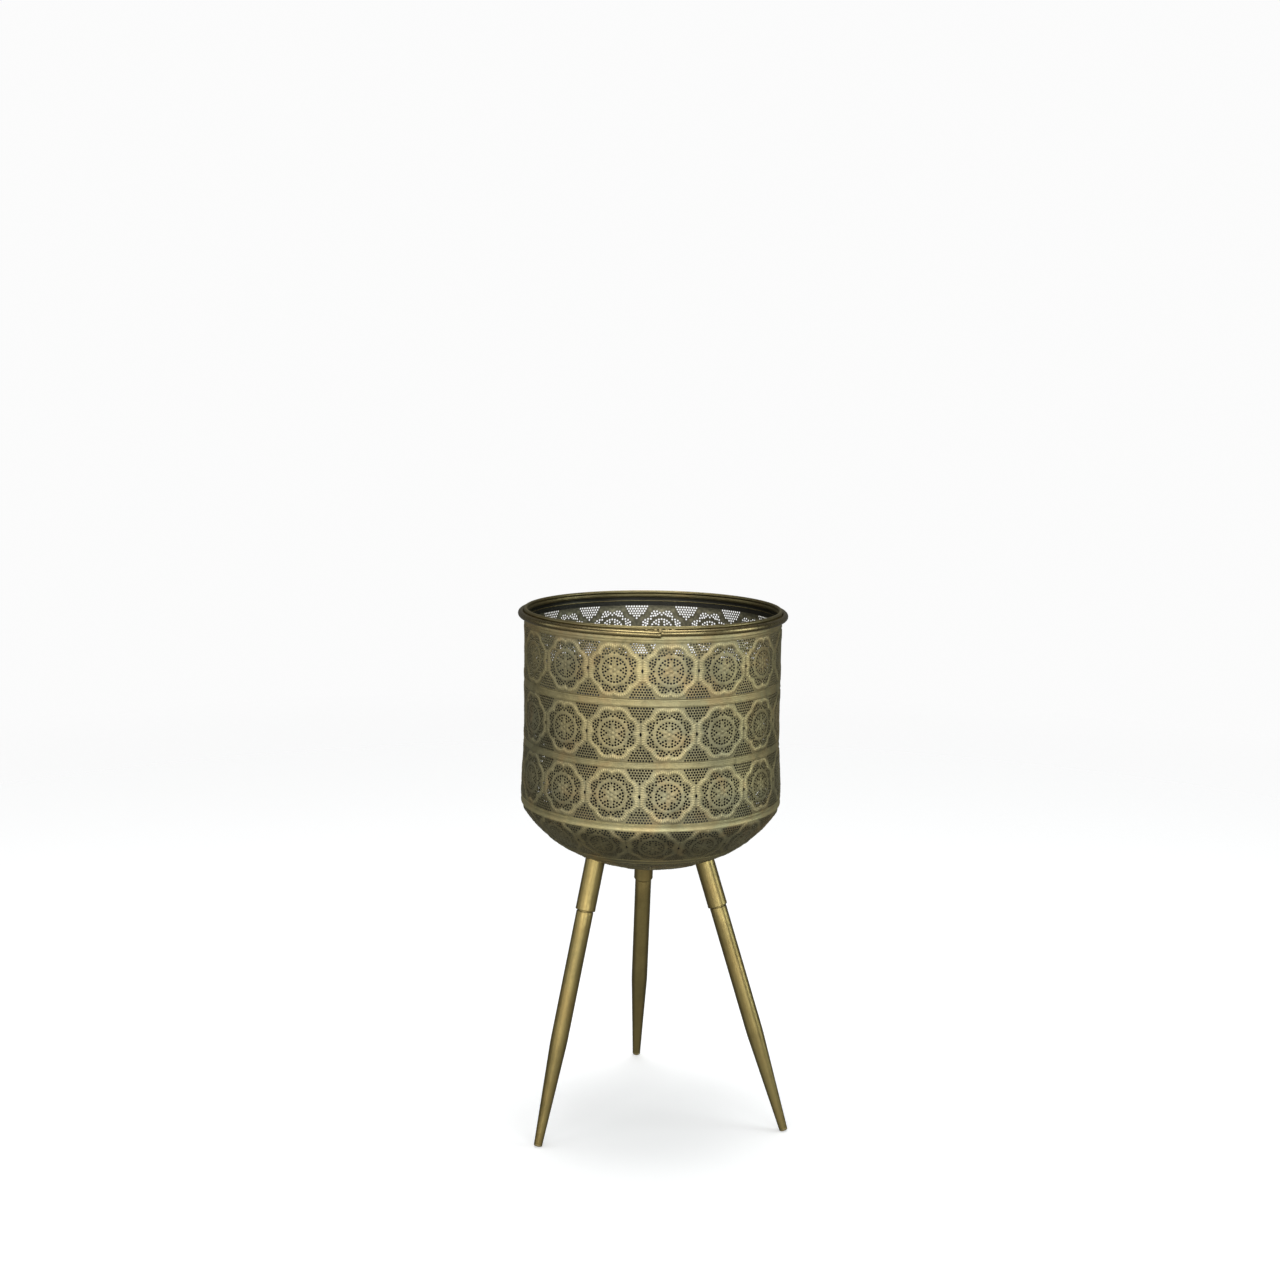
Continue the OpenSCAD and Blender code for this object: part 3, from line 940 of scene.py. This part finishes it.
collar = [(BEAD_R - 0.6, COLLAR_LOW), (142.0, COLLAR_LOW), (142.0, BEAD_Z - 1.6)]
collar += arc(BEAD_R, BEAD_Z, BEAD_ROD, -50, 205, 18)
collar += [(COLLAR_R, BEAD_Z - 2.2)]
collar += arc(COLLAR_R, BEAD_Z - 4.2, 0.95, 90, 270, 8)[1:-1]
collar += [(COLLAR_R, 580.0), (COLLAR_R - 0.1, 577.4)]
collar += arc(COLLAR_R + 0.2, COLLAR_LOW + 0.6, 0.6, 150, 260, 4)
# The groove on the collar's inner side is marked to be painted dark as shade.
groove = [r < COLLAR_R + 0.3 and 577.3 < z < 581.6 for r, z in collar]
collar_shade_marks = [INNER_SHADE if dark else OUTER_FACE for dark in groove]
collar_obj = lathe("rim_collar_strip", collar, 300, relief=collar_shade_marks)
finish_piece(collar_obj, "pot", "brass_rim", collar_mat, "rim_collar")


# ---------------------------------------------------------------- legs and sockets
def leg_frame(i):
    """Place of leg i: the origin is at its socket's mouth and +Z runs up the leg."""
    a = math.radians(LEG_AZ[i])
    lean = math.atan((FOOT_REACH[i] - SOCKET_REACH[i]) / MOUTH_Z[i])
    foot_z = (LEG_FOOT_R - CAP_EDGE) * math.sin(lean) + CAP_EDGE * (1 - math.cos(lean))
    rise, run = MOUTH_Z[i] - foot_z, FOOT_REACH[i] - SOCKET_REACH[i]
    tilt = math.atan(run / rise)
    origin = Vector((SOCKET_REACH[i] * math.sin(a), -SOCKET_REACH[i] * math.cos(a), MOUTH_Z[i]))
    turn = Matrix.Rotation(a - math.pi / 2, 4, "Z") @ Matrix.Rotation(-tilt, 4, "Y")
    return Matrix.Translation(origin) @ turn, math.hypot(rise, run)


def socket(name, place):
    """The tube of a socket, its upper end cut to the curve of the dish."""
    sides = 72
    dish_r, dish_z, _ = dish_at(np.linspace(0.2, 3 * CROWN_END, 2000))

    def top_at(radius, ang):
        """Where a line up the tube comes 0.15 mm inside the dish's outer face."""
        s = np.arange(30.0, 90.0, 0.05)
        line = np.stack([radius * math.cos(ang) + 0 * s, radius * math.sin(ang) + 0 * s, s], 1)
        line = placed(place, line)
        depth = line[:, 2] - np.interp(np.hypot(line[:, 0], line[:, 1]), dish_r, dish_z)
        return s[np.argmax(depth > 0.15)]

    ang = np.arange(sides) * 2 * math.pi / sides
    top_out = np.array([top_at(SOCKET_R, t) for t in ang])
    top_in = np.array([top_at(SOCKET_BORE, t) for t in ang])
    rings = [(SOCKET_BORE, top_in), (SOCKET_BORE, 8.0), (SOCKET_BORE, 0.6), (SOCKET_BORE + 0.15, 0.12)]
    rings += [(SOCKET_R - 0.6, 0.0), (SOCKET_R - 0.25, 0.05), (SOCKET_R + 0.1, 0.5)]
    rings += [(SOCKET_R + 0.12, 1.2), (SOCKET_R, 2.2), (SOCKET_R, 20.0), (SOCKET_R, top_out)]
    n = len(rings)
    j = np.arange(sides)
    j2 = (j + 1) % sides
    verts, tris, uv = [], [], []
    for k, (r, z) in enumerate(rings):
        verts.append(np.stack([r * np.cos(ang), r * np.sin(ang), z + 0 * ang], 1))
        k2 = (k + 1) % n
        corners = (k * sides + j, k * sides + j2, k2 * sides + j2, k2 * sides + j)
        pair, maps = quads(*corners, j / sides, (j + 1) / sides, k / n, (k + 1) / n)
        tris += pair
        uv += maps
    last = (n - 1) * sides
    sharp = np.vstack([np.stack([last + j, last + j2], 1), np.stack([j, j2], 1)])
    verts = placed(place, np.vstack(verts))
    return build(name, verts, np.vstack(tris), np.vstack(uv) * 0.98 + 0.01, None, sharp)


def thread(name, place, low, top):
    """A threaded stud. Its surface follows one helix, and its free end tapers."""
    sides, per_turn = 36, 6
    steps = int((top - low) / THREAD_PITCH * per_turn)
    ang = np.arange(sides) * 2 * math.pi / sides
    rings = []
    for z in np.linspace(low, top, steps + 1):
        turn = ((z / THREAD_PITCH) - ang / (2 * math.pi)) % 1.0
        cut = THREAD_DEPTH * np.clip(np.abs(turn - 0.5) * 2.6 - 0.25, 0, 1)
        run_in, run_out = min(1.0, (z - low) / 2.0), min(1.0, (top - z) / 1.4)
        r = (STUD_R - cut * run_in) - (1 - max(run_out, 0)) * 0.9
        rings.append(np.stack([r * np.cos(ang), r * np.sin(ang), np.full(sides, z)], 1))
    verts = np.vstack(rings + [np.array([[0, 0, low], [0, 0, top]])])
    j = np.arange(sides)
    j2 = (j + 1) % sides
    tris, uv = [], []
    for k in range(steps):
        corners = (k * sides + j, k * sides + j2, (k + 1) * sides + j2, (k + 1) * sides + j)
        pair, maps = quads(*corners, j / sides, (j + 1) / sides, k / steps, (k + 1) / steps)
        tris += pair
        uv += maps
    base, tip, last = len(verts) - 2, len(verts) - 1, steps * sides
    tris += [np.stack([j2, j, 0 * j + base], 1), np.stack([last + j, last + j2, 0 * j + tip], 1)]
    uv += [np.zeros((sides, 6))] * 2
    return build(name, placed(place, verts), np.vstack(tris), np.vstack(uv) * 0.98 + 0.01)


def tube_profile(length):
    """Section of a leg's tube: tapered from the foot up, then straight into the socket."""
    taper, end = -LEG_STRAIGHT * length, CAP_HEAD - length
    tube = [(LEG_FOOT_R - LEG_T, end), (LEG_FOOT_R - 0.25, end), (LEG_FOOT_R, end + 0.3)]
    for k in range(1, 8):
        t = k / 8
        r = LEG_FOOT_R + (LEG_R - LEG_FOOT_R) * t * (1 - 0.015 * (1 - t))
        tube.append((r, end + (taper - end) * t))
    tube += [(LEG_R - 0.12, taper - 3.0), (LEG_R, taper + 4.0), (LEG_R, -60.0), (LEG_R, -20.0)]
    tube += [(LEG_R, -2.2), (LEG_R - 0.25, -1.5), (LEG_R - 1.0, -1.15), (LEG_R - 1.0, 0.9)]
    tube += [(LEG_R, 1.9), (LEG_R, LEG_INSERT - 0.5), (LEG_R - 0.5, LEG_INSERT)]
    return tube + [(LEG_R - LEG_T, LEG_INSERT), (LEG_R - LEG_T, taper)]


def cap_profile(length):
    """Section of a foot cap: a rounded head, and a stem inside the tube."""
    bottom, stem = -length, LEG_FOOT_R - LEG_T
    head, top = bottom + CAP_HEAD, bottom + CAP_HEAD + CAP_STEM
    cap = [(0.0, bottom)]
    cap += arc(LEG_FOOT_R - CAP_EDGE - 0.05, bottom + CAP_EDGE, CAP_EDGE, -90, 0, 6)
    cap += [(LEG_FOOT_R + 0.02, head - 0.35), (LEG_FOOT_R - 0.3, head - 0.05)]
    return cap + [(stem, head), (stem, top), (0.0, top)]


for i in range(3):
    n = i + 1
    place, length = leg_frame(i)
    body = f"leg_{n}"
    mouth = socket(f"socket_tube_{n}", place)
    finish_piece(mouth, "pot", "brass_leg", leg_mat, f"leg_socket_{n}")
    tube = lathe(f"leg_{n}_tube", tube_profile(length), 72, place)
    finish_piece(tube, body, "brass_leg", leg_mat, f"leg_tube_{n}")
    cap = lathe(f"foot_{n}_cap", cap_profile(length), 48, place)
    finish_piece(cap, body, "brass_leg", cap_mat, f"foot_cap_{n}")
    stud = thread(f"leg_{n}_thread", place, LEG_INSERT - STUD_HIDDEN, STUD_TOP)
    finish_piece(stud, body, "steel_hardware", steel_mat, f"leg_stud_{n}")
    for node in (f"leg_plug_{n}", f"socket_plate_{n}"):
        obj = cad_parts[node]
        obj.data.materials.clear()
        obj.data.materials.append(steel_mat)

# ---------------------------------------------------------------- liner
corner, draft = 5, -9.7
corner_r, corner_z = LINER_FLOOR_R - corner, LINER_FLOOR + corner
liner = [(0.0, LINER_FLOOR)] + arc(corner_r, corner_z, corner, -90, draft, 7)
liner += [(LINER_TOP_R, LINER_TOP - 2.6), (LINER_TOP_R + 0.4, LINER_TOP - 2.1)]
liner += [(LINER_LIP_R - 2.4, LINER_TOP - 2.0), (LINER_LIP_R - 2.0, LINER_TOP - 2.4)]
liner += [(LINER_LIP_R - 2.0, LINER_TOP - 7), (LINER_LIP_R, LINER_TOP - 7)]
liner += arc(LINER_LIP_R - 1.2, LINER_TOP - 1.2, 1.2, 0, 90, 5)
liner += [(LINER_TOP_R - 1.0, LINER_TOP)]
liner += arc(LINER_TOP_R - 1.0, LINER_TOP - 1.0, 1.0, 90, 175, 4)
liner += arc(corner_r, corner_z + LINER_T, corner - LINER_T, draft, -90, 6)
liner += [(0.0, LINER_FLOOR + LINER_T)]
shell = lathe("liner_shell", liner, 180)
finish_piece(shell, "liner", "black_plastic", liner_mat, "inner_liner")

# ---------------------------------------------------------------- stage, camera and light
floor_mesh = bpy.data.meshes.new("floor")
floor_mesh.from_pydata([(-3, -3, 0), (3, -3, 0), (3, 3, 0), (-3, 3, 0)], [], [(0, 1, 2, 3)])
floor = bpy.data.objects.new("floor", floor_mesh)
bpy.context.scene.collection.objects.link(floor)
floor_mat, tree, bsdf = nodes_of("pale_floor")
bsdf.inputs["Base Color"].default_value = (0.8, 0.8, 0.8, 1.0)
bsdf.inputs["Roughness"].default_value = 0.8
bsdf.inputs["Specular IOR Level"].default_value = 0.1
bsdf.inputs["Emission Color"].default_value = (1.0, 1.0, 1.0, 1.0)
bsdf.inputs["Emission Strength"].default_value = 0.40
reach = tree.nodes.new("ShaderNodeVectorMath")
reach.operation = "LENGTH"
tree.links.new(coords_of(tree), reach.inputs[0])
FADE_FROM, FADE_TO = 0.5, 2.6
fade = span(tree, reach.outputs["Value"], FADE_FROM, FADE_TO, 1.0, 0.0)
tree.links.new(fade, bsdf.inputs["Alpha"])
floor_mesh.materials.append(floor_mat)
floor.visible_glossy = False

# The camera's place in metres and its turns in radians, matched to the photo.
CAMERA_AT = (-0.02046, -1.95578, 0.86595)
PITCH, YAW, ROLL = 0.1593, 0.0032, 0.01332
cam_data = bpy.data.cameras.new("camera")
cam_data.sensor_width = 36.0
cam_data.lens = 50.0
cam_data.clip_end = 50.0
camera = bpy.data.objects.new("camera", cam_data)
bpy.context.scene.collection.objects.link(camera)
bpy.context.scene.camera = camera
ahead = Vector((math.sin(YAW) * math.cos(PITCH), math.cos(YAW) * math.cos(PITCH), -math.sin(PITCH)))
level = Vector((math.cos(YAW), -math.sin(YAW), 0.0))
upright = level.cross(ahead)
right = level * math.cos(ROLL) + upright * math.sin(ROLL)
up = upright * math.cos(ROLL) - level * math.sin(ROLL)
axes = Matrix((right, up, -ahead)).transposed().to_4x4()
camera.matrix_world = Matrix.Translation(CAMERA_AT) @ axes


def softbox(name, place, target, size, power, colour=(1, 1, 1)):
    """A rectangular light at place, turned to face target."""
    data = bpy.data.lights.new(name, "AREA")
    data.shape = "RECTANGLE"
    data.size, data.size_y = size
    data.energy = power
    data.color = colour
    obj = bpy.data.objects.new(name, data)
    bpy.context.scene.collection.objects.link(obj)
    obj.location = place
    obj.rotation_euler = (Vector(target) - Vector(place)).to_track_quat("-Z", "Y").to_euler()


softbox("key", (-0.9, -2.8, 1.2), (0, 0, 0.42), (1.9, 1.5), 36)
softbox("fill", (1.3, -2.7, 0.9), (0, 0, 0.38), (1.5, 1.3), 35, (0.93, 0.97, 1.0))
softbox("left_front", (-2.4, -1.6, 0.8), (0, 0, 0.4), (1.2, 1.4), 11)
softbox("left_side", (-2.6, 0.1, 0.9), (0, 0, 0.42), (1.0, 1.5), 5, (0.93, 0.98, 1.0))
softbox("right_side", (2.6, -0.5, 0.9), (0, 0, 0.42), (1.0, 1.5), 20, (0.88, 0.98, 1.0))
softbox("low", (-0.3, -2.4, 0.14), (0, 0, 0.34), (1.7, 0.26), 5)
softbox("top", (0.0, 0.2, 2.4), (0, 0, 0.5), (1.0, 0.8), 14)
sun_data = bpy.data.lights.new("overhead", "SUN")
sun_data.energy = 1.1
sun_data.angle = math.radians(50)
sun = bpy.data.objects.new("overhead", sun_data)
bpy.context.scene.collection.objects.link(sun)
sun.rotation_euler = (math.radians(-8), 0, 0)
bpy.context.scene.view_settings.view_transform = "Standard"

world = bpy.data.worlds.new("studio")
bpy.context.scene.world = world
world.use_nodes = True
tree = world.node_tree
back = tree.nodes["Background"]
back.inputs["Color"].default_value = (0.96, 1.0, 1.0, 1.0)
heading = tree.nodes.new("ShaderNodeSeparateXYZ")
tree.links.new(tree.nodes.new("ShaderNodeTexCoord").outputs["Generated"], heading.inputs[0])
low = span(tree, heading.outputs["Z"], -0.08, -0.35, 0.0, 1.0)
below = maths(tree, "MULTIPLY", low, span(tree, heading.outputs["Z"], -0.9, -0.6, 0.25, 1.0))
front = span(tree, heading.outputs["Y"], 0.2, -0.5, 0.0, 0.5)
glow = maths(tree, "ADD", maths(tree, "MULTIPLY", below, front), 0.13)
tree.links.new(glow, back.inputs["Strength"])
seen = tree.nodes.new("ShaderNodeBackground")
seen.inputs["Color"].default_value = (0.97, 0.97, 0.97, 1.0)
seen.inputs["Strength"].default_value = 1.0
path = tree.nodes.new("ShaderNodeLightPath")
blend = tree.nodes.new("ShaderNodeMixShader")
out = tree.nodes["World Output"]
tree.links.new(path.outputs["Is Camera Ray"], blend.inputs[0])
tree.links.new(back.outputs[0], blend.inputs[1])
tree.links.new(seen.outputs[0], blend.inputs[2])
tree.links.new(blend.outputs[0], out.inputs["Surface"])
